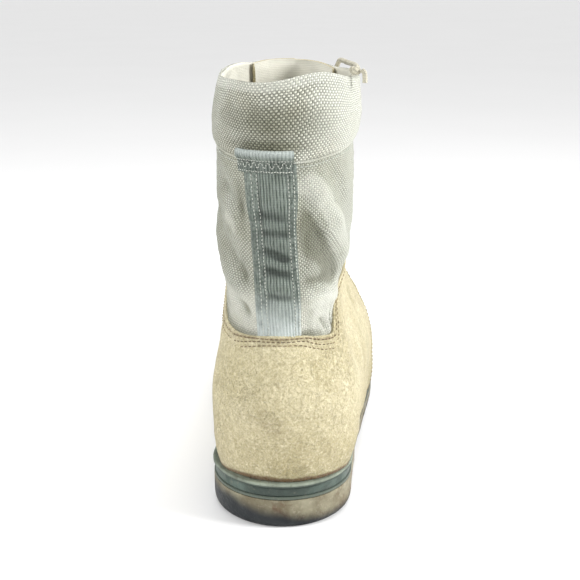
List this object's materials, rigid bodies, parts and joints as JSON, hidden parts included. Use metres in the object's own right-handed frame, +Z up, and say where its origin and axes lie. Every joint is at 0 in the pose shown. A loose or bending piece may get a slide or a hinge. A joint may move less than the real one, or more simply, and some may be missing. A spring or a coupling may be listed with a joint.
{
  "type": "combat boot",
  "caption": "Ankle-high laced boot for the right foot: suede foot, canvas shaft with a padded cuff, webbing up the heel seam and a lugged rubber sole.",
  "frame": {"origin": "on the floor, under the middle of the heel block", "axes": "+Y to the toe, +X to the outer side of the right foot, +Z up"},
  "size_m": [0.1034, 0.306, 0.2394],
  "materials": {
    "suede": "rough suede",
    "webbing": "woven",
    "lining": "woven",
    "welt": "matt",
    "midsole": "matt",
    "outsole": "matt, dusty",
    "lace": "braided",
    "eyelet": "worn paint"
  },
  "bodies": {
    "root": {"outsole": "outsole", "midsole": "midsole", "welt": "welt", "insole": "lining", "upper": "suede", "tongue": "lining", "eyestay": "suede", "backstay": "webbing", "backstay_fold": "webbing", "eyelet_lateral_1": "eyelet", "eyelet_lateral_2": "eyelet", "eyelet_lateral_3": "eyelet", "eyelet_lateral_4": "eyelet", "eyelet_lateral_5": "eyelet", "eyelet_lateral_6": "eyelet", "eyelet_lateral_7": "eyelet", "eyelet_lateral_8": "eyelet", "eyelet_medial_1": "eyelet", "eyelet_medial_2": "eyelet", "eyelet_medial_3": "eyelet", "eyelet_medial_4": "eyelet", "eyelet_medial_5": "eyelet", "eyelet_medial_6": "eyelet", "eyelet_medial_7": "eyelet", "eyelet_medial_8": "eyelet", "lace_bar": "lace", "lace_crossing_1": "lace", "lace_crossing_2": "lace", "lace_crossing_3": "lace", "lace_crossing_4": "lace", "lace_crossing_5": "lace", "lace_crossing_6": "lace", "lace_crossing_7": "lace", "lace_end_lateral": "lace", "lace_knot": "lace", "lace_tail_lateral": "lace"}
  },
  "joints": []
}
